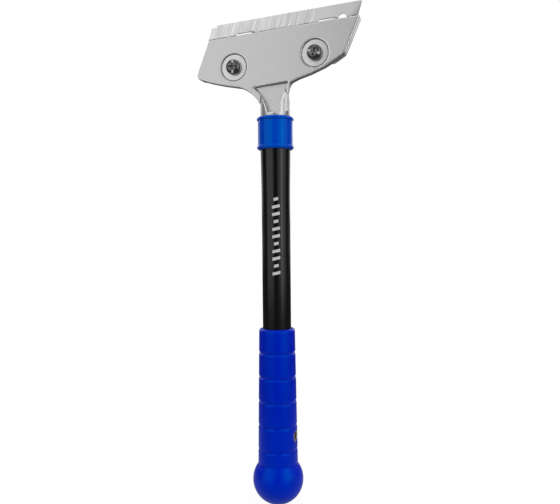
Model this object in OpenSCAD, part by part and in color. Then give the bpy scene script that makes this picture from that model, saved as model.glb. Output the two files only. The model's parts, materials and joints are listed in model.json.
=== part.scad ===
// Long-handled floor scraper: a clamped, slanted blade on a die-cast head, with a tube handle,
// a ball-ended grip and a lined hanging hole. Upright: +Z runs along the handle to the blade,
// +X along the blade, and the screw heads face -Y. The origin is the centre of the hanging hole.

/* [Blade] */
// Length of the cutting edge
blade_l = 100; // [80:1:120]
// Height of the blade, from its back edge to the cutting edge
blade_h = 20; // [16:0.5:24]
// Thickness of the blade
blade_t = 0.8; // [0.5:0.1:1.2]
// Lean of the blade's two ends
blade_lean = 20; // [0:1:30]
// Left end of the cutting edge, from the handle's axis
blade_left = 41.2; // [36:0.2:46]
// Width of the lowered step at the left end of the cutting edge
blade_step_w = 3.6; // [0:0.1:6]
// Drop of that step
blade_step_h = 1.4; // [0.4:0.1:3]
// Diameter of the round hole near the blade's right end
blade_hole_d = 5.4; // [3:0.1:7]

/* [Head] */
// Angle by which the blade is off square to the handle
head_skew = 3.5; // [0:0.5:10]
// Height of the screws above the hanging hole
head_z = 243; // [200:1:300]
// Thickness of the front jaw
jaw_t = 4; // [3:0.1:6]
// Thickness of the clamp plate
clamp_t = 2.6; // [2:0.1:4]
// Height of the jaws' mouth above the screws
jaw_top = 19.3; // [16:0.1:22]
// Distance between the two screws
screw_gap = 54.4; // [40:0.2:64]
// Rise of the right screw above the left one, along the blade
screw_rise = 1.3; // [0:0.1:3]
// Diameter of the round pockets that the washers lie in
pocket_d = 17.5; // [16:0.1:19]
// Depth of those pockets
pocket_depth = 1.4; // [0.8:0.1:2]
// Diameter of the neck
neck_d = 19; // [16:0.2:21]

/* [Screws] */
// Diameter of the screws' thread
screw_d = 5; // [4:0.5:6]
// Diameter of the pan heads
head_d = 9.4; // [8:0.1:11]
// Height of the pan heads
head_h = 3; // [2:0.1:4]
// How far the clamp plate backs off for a blade change
clamp_travel = 1.6; // [0.8:0.1:1.6]

/* [Handle] */
// Outside diameter of the tube
tube_d = 18.5; // [17:0.1:20]
// Outside diameter of the tube's flared top end
flare_d = 19.4; // [18:0.1:20]
// Wall of the tube
tube_wall = 1.2; // [0.8:0.1:2]
// Height of the tube's top end above the hanging hole
tube_top = 197; // [150:1:240]
// Outside diameter of the collar
collar_d = 22.5; // [21:0.1:26]
// Diameter of the beads at the collar's ends
bead_d = 24; // [22:0.1:28]
// Length of the collar
collar_l = 20.9; // [18:0.1:30]

/* [Grip] */
// Height of the grip's top end above the hanging hole
grip_top = 70.5; // [60:0.5:90]
// Diameter of the grip at its top
grip_top_d = 23.4; // [22:0.2:27]
// Diameter of the grip where it meets the ball
grip_low_d = 26; // [24:0.2:29]
// Diameter of the ball end
ball_d = 33.1; // [30:0.1:38]
// Centre of the ball below the hanging hole
ball_drop = 29; // [24:0.5:36]
// Number of grooves around the grip
groove_count = 5; // [1:1:6]
// Spacing of the grooves
groove_pitch = 15.9; // [12:0.1:18]
// Height of the lowest groove, from the hanging hole
groove_low = -8.9; // [-12:0.1:-6]
// Depth of a groove
groove_depth = 0.7; // [0.3:0.1:1.2]
// Bore of the hanging hole
hang_d = 5.4; // [4:0.1:6]

/* [Hidden] */
$fn = 64;

// clearances
slip = 0.05;            // one side of a sliding or pushed-in fit
eps = 0.01;             // one side of a seat between parts that do not move

// head, front to back: y = 0 is the middle of the blade
blade_face = blade_t / 2 + slip;
jaw_front = -blade_face - jaw_t;
clamp_face = blade_face + slip;
clamp_back = clamp_face + clamp_t;
blade_out = 10;         // how far the blade stands out of the mouth
blade_top = jaw_top + blade_out;
blade_back = blade_top - blade_h;
bevel_h = 2.6;          // height of the ground bevel
edge_t = 0.12;          // thickness left at the cutting edge
blade_hole_x = 45.9;    // centre of the round hole, along the blade
blade_hole_up = 1.1;    // and above the mouth
mouth_left = -42.8;     // ends of the jaws' mouth
mouth_right = 57.4;
lean_left = 25.6;       // lean of the jaws' two ends
lean_right = 26.8;
lip_h = 0.8;            // rise of the two lips on the mouth
lip_left = -24.3;
lip_right = 30.5;
lip_w = 11;
lip_set = 0.6;          // the lips stand this far behind the jaw's front face
clamp_low = -6.5;       // lower edge of the clamp plate
clamp_drop = 0.4;       // its upper edge stays this far below the mouth
pocket_floor = jaw_front + pocket_depth;
neck_r = neck_d / 2;
neck_low = tube_top;
rib_top = 228;          // height of the pocket's upper wall
neck_round = 210;       // the neck is full round below this
jaw_round = 3.4;        // rounding of the jaw's corners
web_x = -31.4;          // the web's left side is an arc around this place
web_z = 202.7;
web_r = 26;
rib_w = 3.7;            // width of the rib that follows the arc

// washers and screws, counted from the pocket's floor towards the front
screw_mid_x = 0.5;      // middle of the two screws, in the head's frame
screw_mid_z = -0.15;
washer_d = pocket_d - 0.6;
washer_t = 0.8;
spring_d = 10;
spring_t = 1.2;
spring_split = 0.8;
spring_turn = 35;       // where the split faces
head_edge_h = head_h * 0.55;       // upright edge of the pan heads
head_round_h = head_h * 0.85;
seat = pocket_floor - washer_t - spring_t;
screw_hole_d = screw_d + 0.4;
slot_w = 1.6;           // slot and cross recess in the pan heads
cross_w = 1.1;
cross_l = 6;
recess = 1.5;
nut_flat = 8;
nut_h = 2.4;
nut_boss_d = 14;
nut_sink = 0.2;         // the nuts lie this deep in their bosses
nut_seat = clamp_back - nut_sink;
boss_back = nut_seat + nut_h + nut_sink;
screw_end = nut_seat + nut_h + clamp_travel;   // the nuts stay on when backed off

// handle
tube_r = tube_d / 2;
bore_r = tube_r - tube_wall;
spigot_r = bore_r - eps;
spigot_low = tube_top - 30;
tube_low = -24;
flare_r = flare_d / 2;
flare_low = 160;        // the flare starts here and is full at the collar
collar_top = 207.2;
collar_low = collar_top - collar_l;
bead_r = 0.9;
rim_top = 0.4;          // plain rims outside the two beads
rim_low = 0.5;
pin_d = 3;
pin_z = tube_top - 6;
ball_z = -ball_drop;
ball_join = 6;          // the taper ends this far above the ball's centre
groove_bow = 2;         // radius that a groove is cut with
hang_r = hang_d / 2;
eyelet_r = hang_r + 0.6;
eyelet_flange_r = 4.15;
eyelet_flange_t = 0.5;

// radius of the grip's plain taper at height z
function grip_r(z) = let (t = (grip_top - z) / (grip_top - ball_z))
    (grip_top_d + (grip_low_d - grip_top_d) * min(1, t * 1.15)) / 2;

// the eyelet's faces are sunk until its rims lie flush with the round grip
eyelet_half = sqrt(pow(grip_r(0), 2) - pow(eyelet_flange_r, 2)) + 0.1;

// turns and lifts its children into the head's own frame: x along the blade, z towards the edge
module in_head() {
    translate([0, 0, head_z]) rotate([0, -head_skew, 0]) children();
}

// stands a drawing in the head's plane up, between the depths y0 and y1
module slab(y0, y1) {
    translate([0, y1, 0]) rotate([90, 0, 0]) linear_extrude(y1 - y0) children();
}

// places its children on one screw's axis: -1 is the left screw, 1 the right one
module at_screw(side) {
    in_head()
        translate([screw_mid_x + side * screw_gap / 2, 0, screw_mid_z + side * screw_rise / 2])
            children();
}

// a straight cylinder along y, from y0 to y1
module rod(r, y0, y1, fn = 64) {
    translate([0, y1, 0]) rotate([90, 0, 0]) cylinder(h = y1 - y0, r = r, $fn = fn);
}

// flat shape of the front jaw, in the head's own plane
module jaw_outline() {
    over = 6;
    intersection() {
        offset(r = jaw_round) offset(delta = -jaw_round)
            polygon([[mouth_left + over * tan(lean_left), jaw_top + over],
                     [mouth_right + over * tan(lean_right), jaw_top + over],
                     [46.5, -2.4], [41, -5.4], [33.4, -9], [24, -12], [16, -13.8], [7, -17],
                     [-8, -17], [-24, -14.4], [-34.5, -11.7], [-43, -9], [-54, -4.6]]);
        translate([-70, -50]) square([140, 50 + jaw_top]);
    }
}

// the curved web between the jaw and the neck, in the handle's own plane
module web_outline() {
    difference() {
        polygon([[-7.5, neck_round], [-8, 214], [-24, 214], [-24, 236], [18, 236],
                 [18, 222], [neck_r - 0.1, 222], [neck_r - 0.1, neck_round]]);
        translate([web_x, web_z]) circle(r = web_r);
        translate([20.2, 221.6]) circle(r = 10.4);
    }
}

module head_casting() {
    color("silver") difference() {
        union() {
            in_head() slab(jaw_front, -blade_face) jaw_outline();
            // ledge behind the blade's back edge, which the clamp plate closes on
            in_head() slab(-blade_face, blade_face) intersection() {
                jaw_outline();
                translate([-60, -40]) square([120, 40 + blade_back - slip]);
            }
            in_head() for (x = [lip_left, lip_right])
                slab(jaw_front + lip_set, -blade_face)
                    translate([x, jaw_top - 1]) square([lip_w, 1 + lip_h]);
            slab(jaw_front, blade_face) web_outline();
            neck();
            translate([0, 0, spigot_low]) cylinder(h = neck_low - spigot_low + 1, r = spigot_r);
        }
        neck_pocket();
        for (side = [-1, 1]) at_screw(side) {
            rod(pocket_d / 2, jaw_front - 1, pocket_floor);
            rod(screw_hole_d / 2, jaw_front - 1, blade_face + 1);
        }
        translate([-20, 0, pin_z]) rotate([0, 90, 0]) cylinder(h = 40, d = pin_d + 2 * eps);
    }
}

// round neck that flattens towards the jaw
module neck() {
    cylinder_top = rib_top + 6;
    intersection() {
        translate([0, 0, neck_low]) cylinder(h = cylinder_top - neck_low, r = neck_r);
        rotate([90, 0, 90]) translate([0, 0, -neck_r - 1]) linear_extrude(2 * neck_r + 2)
            polygon([[-neck_r - 1, neck_low - 1], [-neck_r - 1, neck_round], [jaw_front, rib_top],
                     [jaw_front, cylinder_top + 1], [blade_face, cylinder_top + 1],
                     [blade_face, rib_top - 8], [neck_r + 1, neck_round], [neck_r + 1, neck_low - 1]]);
    }
}

// sunk panel between the neck's two ribs
module neck_pocket() {
    floor_high = -2;
    floor_low = -5.2;
    intersection() {
        slab(-neck_r - 1, 0) difference() {
            polygon([[-13.6, 226.7], [10, 228.8], [7.6, 222], [5.8, 216], [5.2, neck_round - 0.6],
                     [-16, neck_round - 0.6]]);
            translate([web_x, web_z]) circle(r = web_r + rib_w);
        }
        rotate([90, 0, 90]) translate([0, 0, -14]) linear_extrude(28)
            polygon([[-neck_r - 2, neck_round - 2], [-neck_r - 2, rib_top + 2], [floor_high, rib_top + 2],
                     [floor_low, neck_round - 2]]);
    }
}

module clamp_plate() {
    color("gainsboro") difference() {
        union() {
            in_head() slab(clamp_face, clamp_back) intersection() {
                offset(r = -eps) jaw_outline();
                translate([-60, clamp_low]) square([120, jaw_top - clamp_low - clamp_drop]);
            }
            for (side = [-1, 1]) at_screw(side) rod(nut_boss_d / 2, clamp_back - 1, boss_back);
        }
        for (side = [-1, 1]) at_screw(side) {
            rod(screw_hole_d / 2, clamp_face - 1, boss_back + 1);
            nut_prism(nut_flat + 0.1, nut_seat - eps, boss_back + 1);
        }
    }
}

// hexagonal prism along y, given by the distance across its flats
module nut_prism(flat, y0, y1) {
    rod(flat / 2 / cos(30), y0, y1, fn = 6);
}

module blade() {
    drop = blade_h * tan(blade_lean);
    top_left = -blade_left;
    top_right = top_left + blade_l;
    color("gainsboro") in_head() difference() {
        slab(-blade_t / 2, blade_t / 2) difference() {
            polygon([[top_left - blade_step_h * tan(blade_lean), blade_top - blade_step_h],
                     [top_left + blade_step_w - 0.6, blade_top - blade_step_h],
                     [top_left + blade_step_w, blade_top], [top_right, blade_top],
                     [top_right - drop, blade_back], [top_left - drop, blade_back]]);
            translate([blade_hole_x, jaw_top + blade_hole_up]) circle(d = blade_hole_d);
        }
        // ground bevel on the back of the cutting edge
        rotate([90, 0, 90]) translate([0, 0, -60]) linear_extrude(140)
            polygon([[blade_t / 2, blade_top - bevel_h], [edge_t - blade_t / 2, blade_top],
                     [edge_t - blade_t / 2, blade_top + 1], [blade_t / 2 + 1, blade_top + 1],
                     [blade_t / 2 + 1, blade_top - bevel_h]]);
    }
}

module pan_screw(side) {
    turn = side < 0 ? 0 : 107;    // where each slot came to rest when tightened
    color("dimgray") at_screw(side) difference() {
        union() {
            translate([0, seat - eps, 0]) rotate([90, 0, 0]) rotate_extrude()
                polygon([[0, 0], [head_d / 2, 0], [head_d / 2, head_edge_h],
                         [head_d / 2 - 0.7, head_round_h], [head_d / 2 - 2, head_h], [0, head_h]]);
            rod(screw_d / 2, seat - 2 * eps, screw_end);
        }
        rotate([0, turn, 0]) {
            translate([-slot_w / 2, seat - head_h - 1, -head_d])
                cube([slot_w, 1 + recess, 2 * head_d]);
            translate([-cross_l / 2, seat - head_h - 1, -cross_w / 2])
                cube([cross_l, 1 + recess, cross_w]);
        }
    }
}

module spring_washer(side) {
    color("silver") at_screw(side) difference() {
        rod(spring_d / 2, seat + eps, seat + spring_t - eps);
        rod(screw_d / 2 + 0.2, seat - 1, seat + spring_t + 1);
        rotate([0, spring_turn, 0]) translate([0, seat - 1, -spring_split / 2])
            cube([spring_d, spring_t + 2, spring_split]);
    }
}

module flat_washer(side) {
    color("silver") at_screw(side) difference() {
        rod(washer_d / 2, pocket_floor - washer_t, pocket_floor - eps);
        rod(screw_d / 2 + 0.25, pocket_floor - washer_t - 1, pocket_floor + 1);
    }
}

module nut(side) {
    color("darkgray") at_screw(side) difference() {
        nut_prism(nut_flat, nut_seat, nut_seat + nut_h);
        rod(screw_d / 2 + slip, nut_seat - 1, nut_seat + nut_h + 1);
    }
}

module cross_pin() {
    color("silver") translate([-flare_r + 0.2, 0, pin_z]) rotate([0, 90, 0])
        cylinder(h = flare_d - 0.4, d = pin_d);
}

module collar() {
    body_r = collar_d / 2;
    top_r = bead_d / 2;
    color("royalblue") difference() {
        rotate_extrude() {
            translate([neck_r - 1, collar_low]) square([body_r - neck_r + 0.6, collar_l]);
            translate([neck_r - 1, collar_low + rim_low])
                square([body_r - neck_r + 1, collar_l - rim_low - rim_top]);
            for (z = [collar_low + rim_low + bead_r, collar_top - rim_top - bead_r])
                translate([top_r - bead_r, z]) circle(r = bead_r, $fn = 32);
        }
        translate([0, 0, collar_low - 1]) cylinder(h = tube_top - collar_low + 1, r = flare_r + eps);
        translate([0, 0, tube_top - eps]) cylinder(h = collar_l, r = neck_r + eps);
    }
}

module tube() {
    color("black") difference() {
        rotate_extrude()
            polygon([[0, tube_low], [tube_r, tube_low], [tube_r, flare_low], [flare_r, collar_low],
                     [flare_r, tube_top - eps], [0, tube_top - eps]]);
        translate([0, 0, tube_low - 1]) cylinder(h = tube_top - tube_low + 2, r = bore_r);
        translate([-20, 0, pin_z]) rotate([0, 90, 0]) cylinder(h = 40, d = pin_d + 2 * eps);
        translate([-20, 0, 0]) rotate([0, 90, 0]) cylinder(h = 40, r = eyelet_r + eps);
    }
}

// solid body of the grip: the rounded top, the taper down to the ball, and the ball
module grip_body() {
    lip = 1.8;
    top_r = grip_r(grip_top);
    rotate_extrude($fn = 96)
        polygon([[0, grip_top], [top_r - lip, grip_top], [top_r - lip / 3, grip_top - lip / 3],
                 [top_r, grip_top - lip], [grip_r(ball_z + ball_join), ball_z + ball_join],
                 [0, ball_z + ball_join]]);
    translate([0, 0, ball_z]) sphere(d = ball_d, $fn = 96);
}

module grip() {
    color("mediumblue") difference() {
        grip_body();
        for (i = [0 : groove_count - 1]) let (z = groove_low + i * groove_pitch)
            rotate_extrude($fn = 96) translate([grip_r(z) + groove_bow - groove_depth, z])
                circle(r = groove_bow, $fn = 48);
        translate([0, 0, tube_low - eps]) cylinder(h = 200, r = tube_r + eps);
        translate([-30, 0, 0]) rotate([0, 90, 0]) cylinder(h = 60, r = eyelet_r + eps);
        for (side = [-1, 1]) translate([side * (eyelet_half + 5 - eyelet_flange_t), 0, 0])
            rotate([0, 90, 0]) cylinder(h = 10, r = eyelet_flange_r + eps, center = true);
    }
}

module hang_eyelet() {
    half = eyelet_half;
    color("silver") difference() {
        rotate([0, 90, 0]) {
            translate([0, 0, -half]) cylinder(h = 2 * half, r = eyelet_r);
            for (side = [-1, 1]) translate([0, 0, side * (half - eyelet_flange_t / 2)])
                cylinder(h = eyelet_flange_t - 2 * eps, r = eyelet_flange_r, center = true);
        }
        rotate([0, 90, 0]) translate([0, 0, -half - 1]) cylinder(h = 2 * half + 2, r = hang_r);
    }
}

head_casting();
clamp_plate();
blade();
pan_screw(-1);  // left_screw
pan_screw(1);  // right_screw
spring_washer(-1);  // left_spring_washer
spring_washer(1);  // right_spring_washer
flat_washer(-1);  // left_flat_washer
flat_washer(1);  // right_flat_washer
nut(-1);  // left_nut
nut(1);  // right_nut
cross_pin();
collar();
tube();
grip();
hang_eyelet();
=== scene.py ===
import json
import math

import bmesh
import bpy
from mathutils import Matrix, Quaternion, Vector


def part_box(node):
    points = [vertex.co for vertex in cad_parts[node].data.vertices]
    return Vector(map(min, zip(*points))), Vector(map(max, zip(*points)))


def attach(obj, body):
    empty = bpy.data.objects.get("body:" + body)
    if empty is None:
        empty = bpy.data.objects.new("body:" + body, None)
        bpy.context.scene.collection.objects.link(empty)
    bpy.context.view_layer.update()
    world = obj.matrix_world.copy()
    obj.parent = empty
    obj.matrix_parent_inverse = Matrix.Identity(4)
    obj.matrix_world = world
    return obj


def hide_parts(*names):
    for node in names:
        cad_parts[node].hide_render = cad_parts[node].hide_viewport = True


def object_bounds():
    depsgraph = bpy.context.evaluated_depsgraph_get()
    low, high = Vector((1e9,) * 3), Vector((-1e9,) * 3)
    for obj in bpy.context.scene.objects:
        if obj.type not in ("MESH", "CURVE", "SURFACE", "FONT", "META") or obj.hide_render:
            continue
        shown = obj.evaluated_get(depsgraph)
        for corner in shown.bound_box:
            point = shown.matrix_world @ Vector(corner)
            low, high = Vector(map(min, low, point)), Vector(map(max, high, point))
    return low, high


# Floor scraper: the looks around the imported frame. Metres, +Z along the handle, +X along the blade.
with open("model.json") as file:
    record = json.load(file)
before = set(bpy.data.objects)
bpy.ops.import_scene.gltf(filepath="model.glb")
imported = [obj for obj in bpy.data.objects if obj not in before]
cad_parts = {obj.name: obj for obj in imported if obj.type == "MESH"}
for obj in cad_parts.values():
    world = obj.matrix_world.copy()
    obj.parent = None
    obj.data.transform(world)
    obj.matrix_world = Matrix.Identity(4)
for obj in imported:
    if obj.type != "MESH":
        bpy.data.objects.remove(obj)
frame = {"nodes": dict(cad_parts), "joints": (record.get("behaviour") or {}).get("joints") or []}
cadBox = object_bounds()
mm = 0.001
joints = {joint["name"]: joint for joint in frame["joints"]}
slideAxis = Vector(joints["blade_slide_out"]["axis"])
skew = math.atan2(-slideAxis.x, slideAxis.z)  # how far the blade is off square to the handle
print("frame loaded", [round(value, 4) for corner in cadBox for value in corner])


def setSmooth(mesh, angle=35):
    mesh.shade_smooth()
    mesh.set_sharp_from_angle(angle=math.radians(angle))


def meshObject(name, bm, place=None, smoothAngle=35):
    bmesh.ops.recalc_face_normals(bm, faces=bm.faces)
    mesh = bpy.data.meshes.new(name)
    bm.to_mesh(mesh)
    bm.free()
    if place is not None:
        mesh.transform(place)
    setSmooth(mesh, smoothAngle)
    piece = bpy.data.objects.new(name, mesh)
    bpy.context.scene.collection.objects.link(piece)
    return piece


def bake(piece, smoothAngle=35):
    # puts the modifiers into the mesh
    bpy.context.view_layer.update()
    graph = bpy.context.evaluated_depsgraph_get()
    mesh = bpy.data.meshes.new_from_object(piece.evaluated_get(graph))
    piece.modifiers.clear()
    piece.data = mesh
    setSmooth(mesh, smoothAngle)
    return piece


def cut(piece, *cutters):
    for cutter in cutters:
        boolean = piece.modifiers.new("cut", "BOOLEAN")
        boolean.operation = "DIFFERENCE"
        boolean.solver = "EXACT"
        boolean.object = cutter
    bake(piece)
    for cutter in cutters:
        bpy.data.objects.remove(cutter)
    return piece


def roundedPath(corners, steps=5, closed=False):
    # corners are (radius, height, rounding); each rounded corner becomes a short curve
    path = []
    count = len(corners)
    for index, (radius, height, rounding) in enumerate(corners):
        here = Vector((radius, height))
        atEnd = not closed and index in (0, count - 1)
        if rounding == 0 or atEnd:
            path.append(here)
            continue
        before = Vector(corners[index - 1][:2]) - here
        after = Vector(corners[(index + 1) % count][:2]) - here
        start = here + before.normalized() * min(rounding, before.length / 2)
        end = here + after.normalized() * min(rounding, after.length / 2)
        for step in range(steps + 1):
            t = step / steps
            path.append(start * (1 - t) ** 2 + here * 2 * t * (1 - t) + end * t * t)
    return path


def lathe(name, path, segments=96, closed=False, place=None, smoothAngle=35, shape=None):
    # turns a path of (radius, height) around Z; shape(radius, height, angle) may reshape it
    bm = bmesh.new()
    rings = []
    for radius, height in path:
        if radius < 1e-7:
            rings.append([bm.verts.new((0, 0, height))])
            continue
        ring = []
        for index in range(segments):
            angle = 2 * math.pi * index / segments
            r, h = shape(radius, height, angle) if shape else (radius, height)
            ring.append(bm.verts.new((r * math.cos(angle), r * math.sin(angle), h)))
        rings.append(ring)
    pairs = list(zip(rings, rings[1:])) + ([(rings[-1], rings[0])] if closed else [])
    for low, high in pairs:
        for index in range(segments):
            after = (index + 1) % segments
            corners = [low[index % len(low)], low[after % len(low)],
                       high[after % len(high)], high[index % len(high)]]
            bm.faces.new(list(dict.fromkeys(corners)))
    return meshObject(name, bm, place, smoothAngle)


def joinMeshes(piece, *extras):
    # the extras become part of the piece and are removed
    joined = bmesh.new()
    joined.from_mesh(piece.data)
    for extra in extras:
        joined.from_mesh(extra.data)
    joined.to_mesh(piece.data)
    joined.free()
    for extra in extras:
        bpy.data.objects.remove(extra)


def boxMesh(name, low, high, place=None):
    bm = bmesh.new()
    bmesh.ops.create_cube(bm, size=1)
    middle = (Vector(low) + Vector(high)) / 2
    size = Vector(high) - Vector(low)
    for vert in bm.verts:
        vert.co = middle + Vector([vert.co[i] * size[i] for i in range(3)])
    return meshObject(name, bm, place)


def alongX(x=0):
    return Matrix.Translation((x, 0, 0)) @ Matrix.Rotation(math.radians(90), 4, "Y")


def screwPlace(side):
    # local Z runs from the screw's tip to its head, along -Y
    joint = joints[side + "_screw_turn"]
    return Matrix.Translation(joint["pos_m"]) @ Matrix.Rotation(math.radians(90), 4, "X")


def headPlace():
    # the head's own frame: X along the blade, Z towards the cutting edge
    origin = Vector(joints["left_screw_turn"]["pos_m"]) + Vector(joints["right_screw_turn"]["pos_m"])
    return Matrix.Translation(origin / 2) @ Matrix.Rotation(-skew, 4, "Y")


def makeGroup(name, inputs, outputs):
    group = bpy.data.node_groups.new(name, "ShaderNodeTree")
    for label, value in inputs.items():
        socket = group.interface.new_socket(name=label, in_out="INPUT", socket_type="NodeSocketFloat")
        socket.default_value = value
    for label in outputs:
        group.interface.new_socket(name=label, in_out="OUTPUT", socket_type="NodeSocketFloat")
    source = group.nodes.new("NodeGroupInput")
    target = group.nodes.new("NodeGroupOutput")
    return group, source, target


def mathNode(tree, operation, first, second=None, clamp=False):
    node = tree.nodes.new("ShaderNodeMath")
    node.operation = operation
    node.use_clamp = clamp
    for index, value in enumerate((first, second)):
        if value is None:
            continue
        if isinstance(value, (int, float)):
            node.inputs[index].default_value = value
        else:
            tree.links.new(value, node.inputs[index])
    return node.outputs[0]


def rangeNode(tree, value, fromLow, fromHigh, toLow, toHigh, smooth=False):
    node = tree.nodes.new("ShaderNodeMapRange")
    node.interpolation_type = "SMOOTHSTEP" if smooth else "LINEAR"
    limits = {"From Min": fromLow, "From Max": fromHigh, "To Min": toLow, "To Max": toHigh}
    for label, amount in limits.items():
        if isinstance(amount, (int, float)):
            node.inputs[label].default_value = amount
        else:
            tree.links.new(amount, node.inputs[label])
    tree.links.new(value, node.inputs["Value"])
    return node.outputs["Result"]


def noiseNode(tree, vector, scale, detail=3, roughness=0.5):
    node = tree.nodes.new("ShaderNodeTexNoise")
    node.inputs["Detail"].default_value = detail
    node.inputs["Roughness"].default_value = roughness
    if isinstance(scale, (int, float)):
        node.inputs["Scale"].default_value = scale
    else:
        tree.links.new(scale, node.inputs["Scale"])
    tree.links.new(vector, node.inputs["Vector"])
    return node.outputs["Fac"]


def objectCoords(tree):
    return tree.nodes.new("ShaderNodeTexCoord").outputs["Object"]


def buildSurfaceGrain():
    # fine moulded or cast skin: Height for a bump
    group, source, target = makeGroup("surfaceGrain", {"Scale": 1500, "Pits": 0.3}, ["Height"])
    coords = objectCoords(group)
    skin = noiseNode(group, coords, source.outputs["Scale"], 4, 0.6)
    wide = noiseNode(group, coords, mathNode(group, "MULTIPLY", source.outputs["Scale"], 0.35), 2)
    pits = mathNode(group, "MULTIPLY", wide, source.outputs["Pits"])
    group.links.new(mathNode(group, "ADD", skin, pits), target.inputs["Height"])
    return group


def buildCloudTone():
    # slow change of tone: Tone multiplies a colour, Mask runs from 0 to 1
    group, source, target = makeGroup("cloudTone", {"Scale": 60, "Spread": 0.05}, ["Tone", "Mask"])
    cloud = noiseNode(group, objectCoords(group), source.outputs["Scale"], 5, 0.55)
    mask = rangeNode(group, cloud, 0.3, 0.7, 0, 1)
    low = mathNode(group, "SUBTRACT", 1, source.outputs["Spread"])
    high = mathNode(group, "ADD", 1, source.outputs["Spread"])
    group.links.new(rangeNode(group, cloud, 0.3, 0.7, low, high), target.inputs["Tone"])
    group.links.new(mask, target.inputs["Mask"])
    return group


def buildEdgeWearAndHighlight():
    # convex edges made lighter: wear that handling has rubbed brighter, and on the cast metal a painted
    # highlight along its rounded rims
    group, source, target = makeGroup("edgeWearAndHighlight", {"Width": 0.06, "Break Up": 0.5}, ["Mask"])
    geometry = group.nodes.new("ShaderNodeNewGeometry")
    high = mathNode(group, "ADD", 0.5, source.outputs["Width"])
    edge = rangeNode(group, geometry.outputs["Pointiness"], 0.505, high, 0, 1, smooth=True)
    patches = noiseNode(group, objectCoords(group), 420, 4, 0.6)
    gaps = mathNode(group, "SUBTRACT", 1, patches)
    broken = mathNode(group, "MULTIPLY", gaps, source.outputs["Break Up"])
    group.links.new(mathNode(group, "SUBTRACT", edge, broken, clamp=True), target.inputs["Mask"])
    return group


def buildFineScratches():
    # thin hairlines, longest along Z
    group, source, target = makeGroup("fineScratches", {"Scale": 900, "Cover": 0.3}, ["Mask"])
    mapping = group.nodes.new("ShaderNodeMapping")
    mapping.inputs["Scale"].default_value = (1, 1, 0.04)
    mapping.inputs["Rotation"].default_value = (0.05, -0.08, 0)
    group.links.new(objectCoords(group), mapping.inputs["Vector"])
    lines = noiseNode(group, mapping.outputs["Vector"], source.outputs["Scale"], 2, 0.4)
    low = mathNode(group, "SUBTRACT", 0.8, mathNode(group, "MULTIPLY", source.outputs["Cover"], 0.4))
    high = mathNode(group, "ADD", low, 0.12)
    group.links.new(rangeNode(group, lines, low, high, 0, 1), target.inputs["Mask"])
    return group


groups = {
    "grain": buildSurfaceGrain(),
    "tone": buildCloudTone(),
    "wearAndHighlight": buildEdgeWearAndHighlight(),
    "scratches": buildFineScratches(),
}


def useGroup(tree, name, **values):
    node = tree.nodes.new("ShaderNodeGroup")
    node.node_tree = groups[name]
    for label, value in values.items():
        node.inputs[label.replace("_", " ")].default_value = value
    return node.outputs


def mixColour(tree, factor, first, second, blend="MIX"):
    node = tree.nodes.new("ShaderNodeMix")
    node.data_type = "RGBA"
    node.blend_type = blend
    for socket, value in ((node.inputs[0], factor), (node.inputs[6], first), (node.inputs[7], second)):
        if isinstance(value, bpy.types.NodeSocket):
            tree.links.new(value, socket)
        elif isinstance(value, tuple):
            socket.default_value = (*value, 1)
        else:
            socket.default_value = value
    return node.outputs[2]


def makeMaterial(name, look):
    # one look dictionary gives the colour, gloss, grain, edge wear and painted rim highlight, and scratches
    # of a finish
    material = bpy.data.materials.new(name)
    material.use_nodes = True
    tree = material.node_tree
    shader = tree.nodes["Principled BSDF"]
    for label, value in look.get("shader", {}).items():
        shader.inputs[label].default_value = value
    tone = useGroup(tree, "tone", Scale=look["toneScale"], Spread=look["toneSpread"])
    grain = useGroup(tree, "grain", Scale=look["grainScale"], Pits=look["pits"])
    wearAndHighlight = useGroup(tree, "wearAndHighlight", Width=look["wearAndHighlightWidth"], Break_Up=look["wearAndHighlightBreakUp"])
    scratches = useGroup(tree, "scratches", Scale=look["scratchScale"], Cover=look["scratchCover"])
    toned = tree.nodes.new("ShaderNodeVectorMath")
    toned.operation = "SCALE"
    toned.inputs[0].default_value = look["colour"]
    tree.links.new(tone["Tone"], toned.inputs["Scale"])
    wornAndHighlighted = mixColour(tree, wearAndHighlight["Mask"], toned.outputs[0], look["wornAndHighlightColour"])
    scratched = mixColour(tree, mathNode(tree, "MULTIPLY", scratches["Mask"], look["scratchDepth"]),
                          wornAndHighlighted, look["scratchColour"])
    tree.links.new(scratched, shader.inputs["Base Color"])
    gloss = rangeNode(tree, tone["Mask"], 0, 1, *look["roughness"])
    rubbedAndSheen = mathNode(tree, "MULTIPLY", wearAndHighlight["Mask"], look["wornGloss"])
    tree.links.new(mathNode(tree, "SUBTRACT", gloss, rubbedAndSheen, clamp=True), shader.inputs["Roughness"])
    bump = tree.nodes.new("ShaderNodeBump")
    bump.inputs["Strength"].default_value = look["bump"]
    bump.inputs["Distance"].default_value = 0.05 * mm
    tree.links.new(grain["Height"], bump.inputs["Height"])
    tree.links.new(bump.outputs["Normal"], shader.inputs["Normal"])
    return material, tree, shader, scratched


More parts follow.
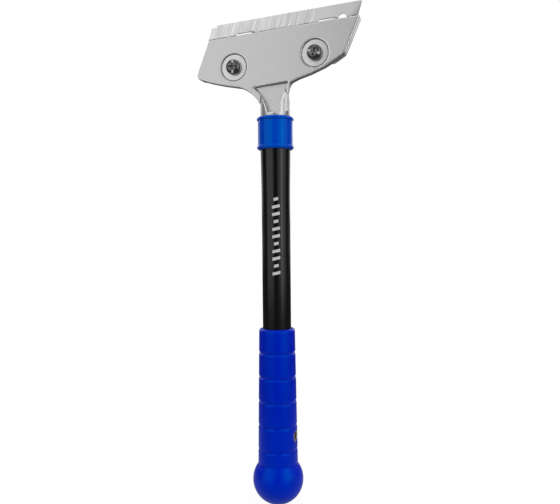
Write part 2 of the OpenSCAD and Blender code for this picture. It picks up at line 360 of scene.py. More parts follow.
# the cast metal's light edge colour is a painted highlight along the rounded rims
castMetalLook = {
    "colour": (0.52, 0.52, 0.525), "roughness": (0.36, 0.46),
    "toneScale": 420, "toneSpread": 0.06, "grainScale": 1500, "pits": 0.6, "bump": 0.8,
    "wearAndHighlightWidth": 0.03, "wearAndHighlightBreakUp": 0.15, "wornAndHighlightColour": (0.88, 0.88, 0.88), "wornGloss": 0.08,
    "scratchScale": 700, "scratchCover": 0.25, "scratchDepth": 0.12, "scratchColour": (0.66, 0.66, 0.66),
    "shader": {"Metallic": 1.0},
}
platedLook = {
    "colour": (0.56, 0.56, 0.555), "roughness": (0.32, 0.42),
    "toneScale": 260, "toneSpread": 0.04, "grainScale": 2600, "pits": 0.2, "bump": 0.18,
    "wearAndHighlightWidth": 0.1, "wearAndHighlightBreakUp": 0.5, "wornAndHighlightColour": (0.66, 0.66, 0.66), "wornGloss": 0.06,
    "scratchScale": 1500, "scratchCover": 0.4, "scratchDepth": 0.25, "scratchColour": (0.4, 0.4, 0.4),
    "shader": {"Metallic": 1.0},
}
darkSteelLook = {
    "colour": (0.125, 0.125, 0.128), "roughness": (0.3, 0.44),
    "toneScale": 620, "toneSpread": 0.3, "grainScale": 2600, "pits": 0.4, "bump": 0.45,
    "wearAndHighlightWidth": 0.08, "wearAndHighlightBreakUp": 0.4, "wornAndHighlightColour": (0.5, 0.5, 0.5), "wornGloss": 0.1,
    "scratchScale": 1600, "scratchCover": 0.4, "scratchDepth": 0.3, "scratchColour": (0.24, 0.24, 0.24),
    "shader": {"Metallic": 1.0},
}
# a lighter copy of the cast metal for the lips: painted highlight
highlightedLipMetalLook = dict(castMetalLook, colour=(0.85, 0.85, 0.85), bump=0.15)
slotFloorSteelLook = dict(darkSteelLook, colour=(0.42, 0.42, 0.42), toneSpread=0.12, scratchDepth=0.5)
eyeletLook = {
    "colour": (0.5, 0.46, 0.38), "roughness": (0.24, 0.36),
    "toneScale": 300, "toneSpread": 0.08, "grainScale": 2600, "pits": 0.2, "bump": 0.2,
    "wearAndHighlightWidth": 0.1, "wearAndHighlightBreakUp": 0.5, "wornAndHighlightColour": (0.7, 0.66, 0.58), "wornGloss": 0.06,
    "scratchScale": 1500, "scratchCover": 0.3, "scratchDepth": 0.2, "scratchColour": (0.3, 0.27, 0.2),
    "shader": {"Metallic": 1.0},
}
collarLook = {
    "colour": (0.0, 0.073, 0.7), "roughness": (0.16, 0.22),
    "toneScale": 160, "toneSpread": 0.06, "grainScale": 900, "pits": 0.4, "bump": 0.05,
    "wearAndHighlightWidth": 0.12, "wearAndHighlightBreakUp": 0.7, "wornAndHighlightColour": (0.005, 0.09, 0.68), "wornGloss": 0.03,
    "scratchScale": 900, "scratchCover": 0.15, "scratchDepth": 0.08, "scratchColour": (0.02, 0.1, 0.7),
    "shader": {"Specular Tint": (0.0, 0.8, 1.0, 1.0), "Specular IOR Level": 0.42},
}
gripLook = {
    "colour": (0.0, 0.0112, 0.64), "roughness": (0.3, 0.38),
    "toneScale": 150, "toneSpread": 0.05, "grainScale": 1500, "pits": 0.5, "bump": 0.12,
    "wearAndHighlightWidth": 0.12, "wearAndHighlightBreakUp": 0.7, "wornAndHighlightColour": (0.003, 0.03, 0.58), "wornGloss": 0.06,
    "scratchScale": 800, "scratchCover": 0.15, "scratchDepth": 0.06, "scratchColour": (0.01, 0.04, 0.6),
    "shader": {"Specular Tint": (0.0, 0.8, 1.0, 1.0), "Specular IOR Level": 0.42},
}
coatingLook = {
    "colour": (0.004, 0.004, 0.0042), "roughness": (0.18, 0.25),
    "toneScale": 50, "toneSpread": 0.12, "grainScale": 2200, "pits": 0.5, "bump": 0.12,
    "wearAndHighlightWidth": 0.1, "wearAndHighlightBreakUp": 0.6, "wornAndHighlightColour": (0.02, 0.02, 0.02), "wornGloss": 0.05,
    "scratchScale": 1100, "scratchCover": 0.15, "scratchDepth": 0.08, "scratchColour": (0.04, 0.04, 0.04),
    "shader": {"Specular IOR Level": 0.38},
}
printLook = {
    "colour": (0.8, 0.8, 0.8), "roughness": (0.4, 0.5),
    "toneScale": 300, "toneSpread": 0.04, "grainScale": 3000, "pits": 0.4, "bump": 0.1,
    "wearAndHighlightWidth": 0.2, "wearAndHighlightBreakUp": 0.9, "wornAndHighlightColour": (0.6, 0.6, 0.6), "wornGloss": 0.0,
    "scratchScale": 1400, "scratchCover": 0.3, "scratchDepth": 0.35, "scratchColour": (0.25, 0.25, 0.25),
    "shader": {},
}
bladeLook = {
    "colour": (0.55, 0.55, 0.555), "roughness": (0.3, 0.38),
    "toneScale": 130, "toneSpread": 0.03, "grainScale": 2400, "pits": 0.2, "bump": 0.06,
    "wearAndHighlightWidth": 0.1, "wearAndHighlightBreakUp": 0.6, "wornAndHighlightColour": (0.8, 0.8, 0.8), "wornGloss": 0.05,
    "scratchScale": 1200, "scratchCover": 0.2, "scratchDepth": 0.1, "scratchColour": (0.66, 0.66, 0.66),
    "shader": {"Metallic": 1.0},
}
streaks = {
    "lean": math.radians(20),   # the grinding marks lie parallel to the blade's ends
    "end": 29.3 * mm,           # they stop here along the cutting edge
    "fade": 1.2 * mm,
    "scale": 1250,
    "light": (0.72, 0.72, 0.72), "lightFrom": 0.52, "lightTo": 0.66,
    "dark": (0.4, 0.4, 0.405), "darkFrom": 0.5, "darkTo": 0.36, "darkMost": 0.75,
    "stretch": 0.02,            # change along a mark, against change across it
    "bump": 0.25, "bumpHeight": 0.03 * mm,
}
jawTop = 19.3 * mm  # the mouth, in the head's frame
lips = {"starts": (-24.3 * mm, 30.5 * mm), "length": 11 * mm, "rise": 0.95 * mm, "depth": 3.85 * mm,
        "gap": 0.06 * mm, "root": 0.5 * mm, "round": 0.35 * mm}
# painted shadow along the mouth: how high and how dark the dark band on the blade runs
mouthShadowPaint = {
    "height": 1.9 * mm, "colour": (0.11, 0.11, 0.115),
    "step": 0.3 * mm,           # how quickly it steps up over a lip
    "raggedScale": 520, "ragged": (0.8, 1.1),
    "fade": (0.85, 1.1), "strength": 0.85,
}


def dotNode(tree, vector, axis):
    node = tree.nodes.new("ShaderNodeVectorMath")
    node.operation = "DOT_PRODUCT"
    node.inputs[1].default_value = axis
    tree.links.new(vector, node.inputs[0])
    return node.outputs["Value"]


def paintedMouthShadowMask(tree, head, across, up):
    # painted shadow: a dark band on the blade just above the mouth, standing in for the shade where blade
    # and jaw meet, stepping up over its two lips. Below the band the whole blade is painted dark too, on
    # both faces: hidden in the jaws at rest, seen when the blade slides out
    coords = objectCoords(tree)
    x = mathNode(tree, "SUBTRACT", dotNode(tree, coords, across), head.translation.dot(across))
    z = mathNode(tree, "SUBTRACT", dotNode(tree, coords, up), head.translation.dot(up) + jawTop)
    for start in lips["starts"]:
        end = start + lips["length"]
        after = rangeNode(tree, x, start - mouthShadowPaint["step"], start, 0, lips["rise"])
        before = rangeNode(tree, x, end, end + mouthShadowPaint["step"], 1, 0)
        z = mathNode(tree, "SUBTRACT", z, mathNode(tree, "MULTIPLY", after, before))
    cloud = noiseNode(tree, coords, mouthShadowPaint["raggedScale"], 3)
    ragged = rangeNode(tree, cloud, 0.3, 0.7, *mouthShadowPaint["ragged"])
    reach = mathNode(tree, "MULTIPLY", ragged, mouthShadowPaint["height"])
    share = mathNode(tree, "DIVIDE", z, reach)
    return rangeNode(tree, share, *mouthShadowPaint["fade"], mouthShadowPaint["strength"], 0)


def bladeFinish():
    material, tree, shader, colour = makeMaterial("groundBlade", bladeLook)
    head = headPlace()
    across = head.to_3x3() @ Vector((1, 0, 0))
    up = head.to_3x3() @ Vector((0, 0, 1))
    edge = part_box("blade")[1]
    top = (head.inverted() @ edge).z
    # a coordinate that is the same all along a grinding mark
    along = across - up * math.tan(streaks["lean"])
    offset = head.translation.dot(along) - top * math.tan(streaks["lean"])
    place = mathNode(tree, "SUBTRACT", dotNode(tree, objectCoords(tree), along), offset)
    line = tree.nodes.new("ShaderNodeCombineXYZ")
    tree.links.new(place, line.inputs["X"])
    tree.links.new(dotNode(tree, objectCoords(tree), up * streaks["stretch"]), line.inputs["Y"])
    marks = noiseNode(tree, line.outputs["Vector"], streaks["scale"], 4, 0.62)
    ground = rangeNode(tree, place, streaks["end"], streaks["end"] + streaks["fade"], 1, 0)
    bright = rangeNode(tree, marks, streaks["lightFrom"], streaks["lightTo"], 0, 1)
    deep = rangeNode(tree, marks, streaks["darkFrom"], streaks["darkTo"], 0, streaks["darkMost"])
    withLight = mixColour(tree, mathNode(tree, "MULTIPLY", bright, ground), colour, streaks["light"])
    withBoth = mixColour(tree, mathNode(tree, "MULTIPLY", deep, ground), withLight, streaks["dark"])
    # the painted mouth shadow darkens the ground colour
    mouthShadowPainted = mixColour(tree, paintedMouthShadowMask(tree, head, across, up), withBoth, mouthShadowPaint["colour"])
    tree.links.new(mouthShadowPainted, shader.inputs["Base Color"])
    bump = shader.inputs["Normal"].links[0].from_node
    marksBump = tree.nodes.new("ShaderNodeBump")
    marksBump.inputs["Strength"].default_value = streaks["bump"]
    marksBump.inputs["Distance"].default_value = streaks["bumpHeight"]
    tree.links.new(mathNode(tree, "MULTIPLY", marks, ground), marksBump.inputs["Height"])
    tree.links.new(bump.outputs["Normal"], marksBump.inputs["Normal"])
    tree.links.new(marksBump.outputs["Normal"], shader.inputs["Normal"])
    return material


finishes = {
    "cast": makeMaterial("dieCastAluminium", castMetalLook)[0],
    "rubbedAndSheen": makeMaterial("highlightedAluminium", highlightedLipMetalLook)[0],
    "plated": makeMaterial("zincPlate", platedLook)[0],
    "darkSteel": makeMaterial("blackenedSteel", darkSteelLook)[0],
    "slotFloor": makeMaterial("slotFloorSteel", slotFloorSteelLook)[0],
    "eyelet": makeMaterial("dullNickel", eyeletLook)[0],
    "collar": makeMaterial("glossBlue", collarLook)[0],
    "grip": makeMaterial("gripBlue", gripLook)[0],
    "coating": makeMaterial("satinBlack", coatingLook)[0],
    "print": makeMaterial("whitePrint", printLook)[0],
    "blade": bladeFinish(),
}
print("finishes ready", len(finishes))


def finishPiece(piece, finish, slotName, body, *nodes):
    # colours a new piece, hides the CAD nodes it stands for, and lets it ride
    piece.data.materials.clear()
    piece.data.materials.append(finishes[finish])
    if nodes:
        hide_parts(*nodes)
    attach(piece, body)
    return piece


casting = {"voxel": 0.36 * mm, "smoothing": 18}
backRibs = {"thickness": 1.6 * mm, "proud": 1.1 * mm, "sunk": 1 * mm, "spacing": 12 * mm,
            "low": -4 * mm, "high": 16 * mm, "left": -36 * mm, "right": 44 * mm,
            "bossHeight": 2.4 * mm}  # the nut bosses stand this far behind the plate


def castFrom(node, name, *extras):
    # the CAD solid with the soft edges that a casting has; extras are closed shapes joined on
    piece = bpy.data.objects.new(name, frame["nodes"][node].data.copy())
    bpy.context.scene.collection.objects.link(piece)
    if extras:
        joinMeshes(piece, *extras)
    remesh = piece.modifiers.new("skin", "REMESH")
    remesh.mode = "VOXEL"
    remesh.voxel_size = casting["voxel"]
    soften = piece.modifiers.new("soften", "SMOOTH")
    soften.factor = 0.5
    soften.iterations = casting["smoothing"]
    bake(piece, 60)
    return piece


def buildHead():
    headCasting = castFrom("head_casting", "headCasting")
    finishPiece(headCasting, "cast", "cast_metal", "handle", "head_casting")
    place = headPlace()
    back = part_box("clamp_plate")[1].y - backRibs["bossHeight"]  # the plate's own back
    root = back - backRibs["sunk"]
    crest = back + backRibs["proud"]
    half = backRibs["thickness"] / 2
    ribs = []
    for index in (-1, 0, 1):
        x = index * backRibs["spacing"]
        ribs.append(boxMesh("rib", (x - half, root, backRibs["low"]), (x + half, crest, backRibs["high"]),
                            place))
    beam = backRibs["high"] - backRibs["thickness"]
    ribs.append(boxMesh("rib", (backRibs["left"], root, beam),
                        (backRibs["right"], crest, backRibs["high"]), place))
    clampPlate = castFrom("clamp_plate", "clampPlate", *ribs)
    finishPiece(clampPlate, "cast", "cast_metal", "clamp", "clamp_plate")


def buildLips():
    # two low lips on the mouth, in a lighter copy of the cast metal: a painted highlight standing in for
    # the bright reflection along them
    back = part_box("blade")[0].y - lips["gap"]
    bars = []
    for start in lips["starts"]:
        bar = boxMesh("lip", (start, back - lips["depth"], jawTop - lips["root"]),
                      (start + lips["length"], back, jawTop + lips["rise"]), headPlace())
        bars.append(bar)
    piece = bars[0]
    joinMeshes(piece, *bars[1:])
    piece.name = "mouthLips"
    ease = piece.modifiers.new("ease", "BEVEL")
    ease.width = lips["round"]
    ease.segments = 4
    bake(piece, 50)
    finishPiece(piece, "rubbedAndSheen", "cast_metal", "handle")


bladeShape = {"edgeEase": 0.05 * mm, "cornerRound": 0.9 * mm, "cornerReach": 1.5 * mm}


def buildBlade():
    piece = bpy.data.objects.new("scraperBlade", frame["nodes"]["blade"].data.copy())
    bpy.context.scene.collection.objects.link(piece)
    stored = piece.data.attributes.get("custom_normal")
    if stored:
        piece.data.attributes.remove(stored)
    bm = bmesh.new()
    bm.from_mesh(piece.data)
    bmesh.ops.remove_doubles(bm, verts=bm.verts, dist=0.001 * mm)
    bmesh.ops.dissolve_limit(bm, angle_limit=math.radians(0.5), verts=bm.verts, edges=bm.edges)
    # the corner at the right end of the cutting edge is slightly rounded
    tip = max((vert.co for vert in bm.verts), key=lambda place: place.x + place.z).copy()
    corner = [edge for edge in bm.edges
              if all((vert.co - tip).length < bladeShape["cornerReach"] for vert in edge.verts)]
    bmesh.ops.bevel(bm, geom=corner, offset=bladeShape["cornerRound"], segments=5, profile=0.5,
                    affect="EDGES")
    bm.to_mesh(piece.data)
    bm.free()
    ease = piece.modifiers.new("ease", "BEVEL")
    ease.width = bladeShape["edgeEase"]
    ease.segments = 2
    ease.limit_method = "ANGLE"
    ease.angle_limit = math.radians(25)
    bake(piece, 20)
    finishPiece(piece, "blade", "blade_steel", "blade", "blade")


buildHead()
buildLips()
buildBlade()
print("head built")


screwLook = {
    "left": {"slotTurn": 0},
    "right": {"slotTurn": 73},
    "slotWidth": 1.6 * mm,
    "slotDepth": 0.9 * mm,
    "crossWidth": 1.25 * mm,
    "crossLength": 5.8 * mm,
    "crossDepth": 2.1 * mm,
    "headRadius": 4.7 * mm,
    "headHeight": 3 * mm,
    "threadRadius": 2.5 * mm,
    "threadDepth": 0.42 * mm,
    "pitch": 0.8 * mm,
}
washers = {"flatRadius": 8.45 * mm, "flatThickness": 0.8 * mm, "springRadius": 5 * mm,
           "springThickness": 1.1 * mm, "springRise": 0.05 * mm, "springGap": math.radians(9)}
nutLook = {"acrossFlats": 8 * mm, "chamfer": math.radians(30)}


def buildScrew(side):
    look = screwLook
    place = screwPlace(side)
    low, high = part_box(side + "_screw")
    tip = -high.y
    top = -low.y
    under = top - look["headHeight"]
    radius = look["headRadius"]
    corners = [(0, under, 0), (radius - 0.1 * mm, under, 0.2 * mm),
               (radius, under + 0.4 * mm, 0.2 * mm), (radius, top - 1.5 * mm, 0.8 * mm),
               (radius - 1.3 * mm, top - 0.15 * mm, 1.2 * mm), (0, top, 0)]
    screw = lathe(side + "Screw", roundedPath(corners, 8), 96)
    cutters = []
    turn = Matrix.Rotation(math.radians(look[side]["slotTurn"]), 4, "Z")
    half = look["slotWidth"] / 2
    cutters.append(boxMesh("slot", (-half, -radius * 1.2, top - look["slotDepth"]),
                           (half, radius * 1.2, top + 1 * mm), turn))
    for quarter in (0, 90):
        arm = boxMesh("arm", (-look["crossLength"] / 2, -look["crossWidth"] / 2, top - look["crossDepth"]),
                      (look["crossLength"] / 2, look["crossWidth"] / 2, top + 1 * mm),
                      turn @ Matrix.Rotation(math.radians(quarter), 4, "Z"))
        for vert in arm.data.vertices:  # the recess narrows towards its floor
            if vert.co.z < top:
                vert.co.x *= 0.55
                vert.co.y *= 0.55
        cutters.append(arm)
    cut(screw, *cutters)
    screw.data.materials.append(finishes["darkSteel"])
    screw.data.materials.append(finishes["slotFloor"])
    for face in screw.data.polygons:  # the slot's floor gets a lighter steel than the rest of the head
        if abs(face.center.z - (top - look["slotDepth"])) < 0.01 * mm and abs(face.normal.z) > 0.9:
            face.material_index = 1

    def thread(r, h, angle):
        if not tip + 0.6 * mm < h < under + 0.05 * mm or r < look["threadRadius"] * 0.9:
            return r, h
        phase = (h / look["pitch"] - angle / (2 * math.pi)) % 1
        return r - look["threadDepth"] * (1 - abs(2 * phase - 1)), h

    rings = int((under - tip) / (look["pitch"] / 8))
    heights = [tip + 0.3 * mm + (under + 0.2 * mm - tip - 0.3 * mm) * i / rings for i in range(rings + 1)]
    path = [(0, tip), (look["threadRadius"] - 0.5 * mm, tip)]
    path += [(look["threadRadius"], height) for height in heights] + [(0, heights[-1])]
    shank = lathe("shank", path, 48, shape=thread)
    joinMeshes(screw, shank)
    screw.data.transform(place)
    setSmooth(screw.data, 32)
    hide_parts(side + "_screw")
    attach(screw, side + "_screw")


def buildWashers(side):
    place = screwPlace(side)
    low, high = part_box(side + "_flat_washer")
    front = -low.y
    back = -high.y
    outer = washers["flatRadius"]
    inner = screwLook["threadRadius"] + 0.3 * mm
    path = roundedPath([(inner, back, 0.1 * mm), (outer, back, 0.1 * mm), (outer, front, 0.3 * mm),
                        (inner, front, 0.2 * mm)], 5, closed=True)
    flat = lathe(side + "FlatWasher", path, 128, closed=True, place=place)
    finishPiece(flat, "plated", "plated_steel", "handle", side + "_flat_washer")

    low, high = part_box(side + "_spring_washer")
    middle = -(low.y + high.y) / 2
    half = (high.y - low.y) / 2 - washers["springRise"] - 0.01 * mm
    corners = [(inner, -half, 0.15 * mm), (washers["springRadius"], -half, 0.2 * mm),
               (washers["springRadius"], half, 0.2 * mm), (inner, half, 0.15 * mm)]
    section = roundedPath(corners, 4, closed=True)
    bm = bmesh.new()
    rings = []
    steps = 72
    for step in range(steps + 1):
        t = step / steps
        angle = math.radians(55) + washers["springGap"] / 2 + t * (2 * math.pi - washers["springGap"])
        lift = middle + washers["springRise"] * (2 * t - 1)
        rings.append([bm.verts.new((r * math.cos(angle), r * math.sin(angle), h + lift))
                      for r, h in section])
    for first, second in zip(rings, rings[1:]):
        for index in range(len(section)):
            after = (index + 1) % len(section)
            bm.faces.new((first[index], first[after], second[after], second[index]))
    bm.faces.new(rings[0])
    bm.faces.new(rings[-1])
    spring = meshObject(side + "SpringWasher", bm, place)
    finishPiece(spring, "plated", "plated_steel", "handle", side + "_spring_washer")


def buildNut(side):
    low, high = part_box(side + "_nut")
    back = -high.y
    front = -low.y
    flat = nutLook["acrossFlats"] / 2
    bore = screwLook["threadRadius"] + 0.02 * mm

    def hexagon(r, h, angle):
        if r < flat - 0.5 * mm:
            return r, h
        sector = (angle + math.radians(30)) % math.radians(60) - math.radians(30)
        reach = flat / math.cos(sector)
        drop = max(0, reach - flat * 1.02) * math.tan(nutLook["chamfer"])
        if r < flat:
            return r, h
        return reach, h + drop * (1 if h < (front + back) / 2 else -1)

    path = [(bore, back + 0.3 * mm), (bore + 0.3 * mm, back), (flat - 0.05 * mm, back), (flat, back),
            (flat, front), (flat - 0.05 * mm, front), (bore + 0.3 * mm, front), (bore, front - 0.3 * mm)]
    nut = lathe(side + "Nut", path, 120, closed=True, place=screwPlace(side), shape=hexagon)
    finishPiece(nut, "plated", "dark_steel", "clamp", side + "_nut")


for side in ("left", "right"):
    buildScrew(side)
    buildWashers(side)
    buildNut(side)
print("fasteners built")


tube = {"radius": 9.25 * mm, "wall": 1.2 * mm, "flareStart": 160 * mm}
collar = {"bodyRadius": 11.25 * mm, "beadRadius": 0.9 * mm, "beadReach": 12 * mm,
          "lowBead": 1.4 * mm, "highBead": 1.3 * mm, "neckRadius": 9.53 * mm}
grip = {"topDiameter": 23.4 * mm, "lowDiameter": 26 * mm, "ballRadius": 16.55 * mm, "grooves": 5,
        "groovePitch": 15.9 * mm, "grooveLow": -8.9 * mm, "grooveDepth": 0.7 * mm, "grooveWidth": 0.68 * mm,
        "lip": 1.8 * mm, "blend": 0.8 * mm, "step": 0.35 * mm}
eyelet = {"bore": 2.7 * mm, "barrel": 3.3 * mm, "flange": 4.15 * mm, "flangeThickness": 0.5 * mm,
          "seatReach": 10 * mm}


def buildCollar():
    low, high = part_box("collar")
    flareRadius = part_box("tube")[1].x
    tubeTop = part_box("tube")[1].z
    body = collar["bodyRadius"]
    bead = collar["beadReach"]
    size = collar["beadRadius"]

    def beadCorners(height):
        return [(body, height - size - 0.15 * mm, 0.3 * mm),
                (bead - 0.15 * mm, height - size * 0.8, 0.6 * mm), (bead, height, 0.7 * mm),
                (bead - 0.15 * mm, height + size * 0.8, 0.6 * mm),
                (body, height + size + 0.15 * mm, 0.3 * mm)]

    outer = [(flareRadius + 0.02 * mm, low.z, 0.2 * mm), (body - 0.4 * mm, low.z, 0.35 * mm)]
    outer += beadCorners(low.z + collar["lowBead"] + 0.1 * mm)
    outer += beadCorners(high.z - collar["highBead"])
    outer += [(body - 0.3 * mm, high.z, 0.25 * mm)]
    inner = [(collar["neckRadius"], high.z, 0.2 * mm), (collar["neckRadius"], tubeTop, 0),
             (flareRadius + 0.02 * mm, tubeTop, 0)]
    path = roundedPath(outer + inner, 6, closed=True)
    piece = lathe("collarSleeve", path, 160, closed=True, smoothAngle=40)
    finishPiece(piece, "collar", "collar_plastic", "handle", "collar")


def eyeletCutter(radius):
    reach = 30 * mm
    path = [(0, -reach), (radius, -reach), (radius, reach), (0, reach)]
    return lathe("cutter", path, 64, place=alongX())


def buildTube():
    low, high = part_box("tube")
    radius = tube["radius"]
    inside = radius - tube["wall"]
    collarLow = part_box("collar")[0].z
    corners = [(radius, low.z, 0.2 * mm), (radius, tube["flareStart"], 6 * mm), (high.x, collarLow, 0),
               (high.x, high.z, 0.2 * mm), (inside, high.z, 0.1 * mm), (inside, low.z, 0.1 * mm)]
    piece = lathe("handleTube", roundedPath(corners, 5, closed=True), 160, closed=True)
    cut(piece, eyeletCutter(eyelet["barrel"] + 0.01 * mm))
    finishPiece(piece, "coating", "black_coating", "handle", "tube")


def gripRadius(z):
    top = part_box("grip")[1].z
    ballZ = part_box("grip")[0].z + grip["ballRadius"]
    t = (top - z) / (top - ballZ)
    radius = (grip["topDiameter"] + (grip["lowDiameter"] - grip["topDiameter"]) * min(1, t * 1.15)) / 2
    for index in range(grip["grooves"]):
        offset = (z - grip["grooveLow"] - index * grip["groovePitch"]) / grip["grooveWidth"]
        radius -= grip["grooveDepth"] * math.exp(-offset * offset)
    overLip = (z - (top - grip["lip"])) / grip["lip"]
    if overLip > 0:
        radius -= grip["lip"] * (1 - math.sqrt(max(0, 1 - overLip * overLip)))
    across = grip["ballRadius"] ** 2 - (z - ballZ) ** 2
    ball = math.sqrt(max(0, across))
    if z < ballZ:
        return ball
    # soft join where the taper runs into the ball
    k = grip["blend"]
    gap = max(0, k - abs(radius - ball)) / k
    return max(radius, ball) + gap * gap * k / 4


def buildGrip():
    low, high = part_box("grip")
    ballZ = low.z + grip["ballRadius"]
    tubeRadius = tube["radius"]
    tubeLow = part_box("tube")[0].z
    path = []
    for index in range(25):  # round end, up to the ball's equator
        angle = math.pi / 2 * index / 24
        path.append((grip["ballRadius"] * math.sin(angle), ballZ - grip["ballRadius"] * math.cos(angle)))
    steps = int((high.z - ballZ) / grip["step"])
    for index in range(1, steps + 1):
        z = ballZ + (high.z - ballZ) * index / steps
        path.append((gripRadius(z), z))
    path += [(tubeRadius + 0.3 * mm, high.z), (tubeRadius + 0.02 * mm, high.z - 0.3 * mm),
             (tubeRadius + 0.02 * mm, tubeLow), (0, tubeLow)]
    piece = lathe("gripMoulding", path, 192)
    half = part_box("hang_eyelet")[1].x
    cutters = [eyeletCutter(eyelet["barrel"] + 0.01 * mm)]
    seatRadius = eyelet["flange"] + 0.1 * mm
    seat = [(0, 0), (seatRadius, 0), (seatRadius, eyelet["seatReach"]), (0, eyelet["seatReach"])]
    thick = eyelet["flangeThickness"]
    for start in (thick - half - eyelet["seatReach"], half - thick):
        cutters.append(lathe("seat", seat, 64, place=alongX(start)))
    cut(piece, *cutters)
    finishPiece(piece, "grip", "grip_plastic", "handle", "grip")


def buildEyelet():
    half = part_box("hang_eyelet")[1].x
    thick = eyelet["flangeThickness"]
    corners = [(eyelet["bore"], -half, 0.45 * mm), (eyelet["flange"], -half, 0.22 * mm),
               (eyelet["flange"], -half + thick, 0.2 * mm), (eyelet["barrel"], -half + thick, 0.1 * mm)]
    corners += [(radius, -height, rounding) for radius, height, rounding in reversed(corners)]
    path = roundedPath(corners, 6, closed=True)
    piece = lathe("hangEyelet", path, 96, closed=True, place=alongX())
    finishPiece(piece, "eyelet", "eyelet_nickel", "handle", "hang_eyelet")


printMark = {
    "facing": math.radians(-73),  # the side of the tube that carries the print
    "start": 106 * mm, "end": 158 * mm,
    "thickness": 0.03 * mm,
    "bars": 11, "height": 1.9 * mm, "slant": math.radians(12),
}


def curvedBar(bm, radius, facing, halfWidth, z0, z1, slant):
    # a thin closed patch on the tube; slant lifts one side
    columns = 12
    rings = []
    for index in range(columns + 1):
        side = (2 * index / columns - 1) * halfWidth
        angle = facing + side / radius
        lift = side * math.tan(slant)
        ring = []
        for r, z in ((radius - 0.02 * mm, z0), (radius + printMark["thickness"], z0),
                     (radius + printMark["thickness"], z1), (radius - 0.02 * mm, z1)):
            ring.append(bm.verts.new((r * math.cos(angle), r * math.sin(angle), z + lift)))
        rings.append(ring)
    for first, second in zip(rings, rings[1:]):
        for index in range(4):
            after = (index + 1) % 4
            bm.faces.new((first[index], first[after], second[after], second[index]))
    bm.faces.new(rings[0])
    bm.faces.new(rings[-1])


def buildPrint():
    # plain stripes in place of lettering
    radius = tube["radius"]
    pitch = (printMark["end"] - printMark["start"]) / printMark["bars"]
    bm = bmesh.new()
    for index in range(printMark["bars"]):
        z = printMark["start"] + index * pitch
        long = index % 3 != 1
        curvedBar(bm, radius, printMark["facing"], (2.5 if long else 1.5) * mm, z, z + printMark["height"],
                  printMark["slant"])
    piece = meshObject("printedStripes", bm)
    finishPiece(piece, "print", "black_coating", "handle")


buildCollar()
buildTube()
buildGrip()
buildEyelet()
buildPrint()
frame["nodes"]["cross_pin"].material_slots[0].material = finishes["plated"]
print("handle built")


studio = {
    "softboxes": [  # angles from the camera's side, size, distance, brightness
        {"name": "left", "azimuth": -48, "rise": 6,
         "size": (1.0, 1.6), "distance": 0.95, "power": 1.25},
        {"name": "right", "azimuth": 50, "rise": 6,
         "size": (1.3, 1.6), "distance": 0.95, "power": 0.9},
        {"name": "core", "azimuth": 48, "rise": 6,
         "size": (0.3, 1.5), "distance": 0.9, "power": 1.6},
        {"name": "top", "azimuth": 0, "rise": 74,
         "size": (1.0, 0.7), "distance": 0.95, "power": 1.0},
        {"name": "rear", "azimuth": 148, "rise": 14,
         "size": (0.7, 0.5), "distance": 1.2, "power": 1.1},
        {"name": "rearLeft", "azimuth": -140, "rise": 17,
         "size": (0.6, 0.6), "distance": 1.2, "power": 1.0},
    ],
    "ambientFront": 0.05,
    "ambientRear": 0.5,             # behind and above only, where the head mirrors it
    "rearFrom": (0.1, -0.5),        # towards the camera's side, as a share of the direction
    "rearAbove": (0.17, 0.27),      # upwards, likewise
    "floorSize": 60,
    "floorColour": 0.08,
    "floorGlow": (0.95, 1.0),       # as seen, beside the handle and far away
    "floorNear": 0.3,               # in reflections, close around the handle
    "floorFar": (0.03, 0.5),        # in reflections, nearer and further behind
    "glowReach": (0.08, 1.2), "nearReach": (0.12, 0.32), "farReach": (-1.5, -3),  # metres
}
camera = {"lens": 40.37, "azimuth": 17.0, "elevation": 2.01, "roll": -0.485, "distance": 409.4 * mm,
          "aim": Vector((2.26, 0.69, 120.18)) * mm}


def direction(azimuth, elevation=0):
    a, e = math.radians(azimuth), math.radians(elevation)
    return Vector((math.sin(a) * math.cos(e), -math.cos(a) * math.cos(e), math.sin(e)))


def buildLights():
    middle = (cadBox[0][2] + cadBox[1][2]) / 2
    for box in studio["softboxes"]:
        data = bpy.data.lights.new("softbox_" + box["name"], "AREA")
        data.shape = "RECTANGLE"
        data.size, data.size_y = box["size"]
        data.energy = box["power"] * math.pi * data.size * data.size_y
        light = bpy.data.objects.new(data.name, data)
        target = Vector((0, 0, middle))
        aim = direction(camera["azimuth"] + box["azimuth"], box["rise"])
        light.location = target + aim * box["distance"]
        light.rotation_euler = (target - light.location).to_track_quat("-Z", "Y").to_euler()
        light.visible_camera = False
        bpy.context.scene.collection.objects.link(light)


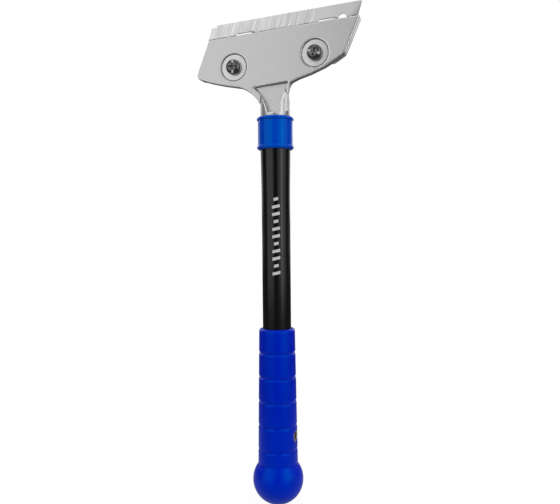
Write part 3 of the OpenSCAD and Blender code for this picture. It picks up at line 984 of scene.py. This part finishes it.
def buildWorld():
    world = bpy.data.worlds.new("studio")
    world.use_nodes = True
    bpy.context.scene.world = world
    tree = world.node_tree
    background = tree.nodes["Background"]
    background.inputs["Color"].default_value = (1, 1, 1, 1)
    seen = tree.nodes.new("ShaderNodeLightPath").outputs["Is Camera Ray"]
    around = tree.nodes.new("ShaderNodeTexCoord").outputs["Generated"]
    front = dotNode(tree, around, direction(camera["azimuth"]))
    behind = rangeNode(tree, front, *studio["rearFrom"], 0, studio["ambientRear"], smooth=True)
    upwards = dotNode(tree, around, (0, 0, 1))
    above = rangeNode(tree, upwards, *studio["rearAbove"], 0, 1, smooth=True)
    ambient = mathNode(tree, "ADD", mathNode(tree, "MULTIPLY", behind, above), studio["ambientFront"])
    tree.links.new(rangeNode(tree, seen, 0, 1, ambient, 1), background.inputs["Strength"])


def buildFloor():
    bm = bmesh.new()
    bmesh.ops.create_circle(bm, cap_ends=True, segments=64, radius=studio["floorSize"])
    floor = meshObject("floor", bm, Matrix.Translation((0, 0, cadBox[0][2])))
    material = bpy.data.materials.new("paleFloor")
    material.use_nodes = True
    tree = material.node_tree
    shader = tree.nodes["Principled BSDF"]
    shader.inputs["Base Color"].default_value = (*[studio["floorColour"]] * 3, 1)
    shader.inputs["Roughness"].default_value = 0.9
    shader.inputs["Specular IOR Level"].default_value = 0
    shader.inputs["Emission Color"].default_value = (1, 1, 1, 1)
    coords = objectCoords(tree)
    away = tree.nodes.new("ShaderNodeVectorMath")
    away.operation = "LENGTH"
    tree.links.new(coords, away.inputs[0])
    reach = away.outputs["Value"]
    glow = rangeNode(tree, reach, *studio["glowReach"], *studio["floorGlow"], smooth=True)
    near = rangeNode(tree, reach, *studio["nearReach"], studio["floorNear"], 0, smooth=True)
    front = dotNode(tree, coords, direction(camera["azimuth"]))
    far = rangeNode(tree, front, *studio["farReach"], *studio["floorFar"], smooth=True)
    bounce = mathNode(tree, "ADD", near, far)
    seen = tree.nodes.new("ShaderNodeLightPath").outputs["Is Camera Ray"]
    tree.links.new(rangeNode(tree, seen, 0, 1, bounce, glow), shader.inputs["Emission Strength"])
    floor.data.materials.append(material)


def buildCamera():
    data = bpy.data.cameras.new("camera")
    data.lens = camera["lens"]
    data.sensor_width = 36
    data.clip_start = 0.01
    view = bpy.data.objects.new("camera", data)
    offset = direction(camera["azimuth"], camera["elevation"])
    view.location = camera["aim"] + offset * camera["distance"]
    turn = (-offset).to_track_quat("-Z", "Y") @ Quaternion((0, 0, 1), math.radians(camera["roll"]))
    view.rotation_euler = turn.to_euler()
    bpy.context.scene.collection.objects.link(view)
    bpy.context.scene.camera = view


buildLights()
buildWorld()
buildFloor()
buildCamera()
bpy.context.scene.view_settings.view_transform = "Standard"
print("studio ready")
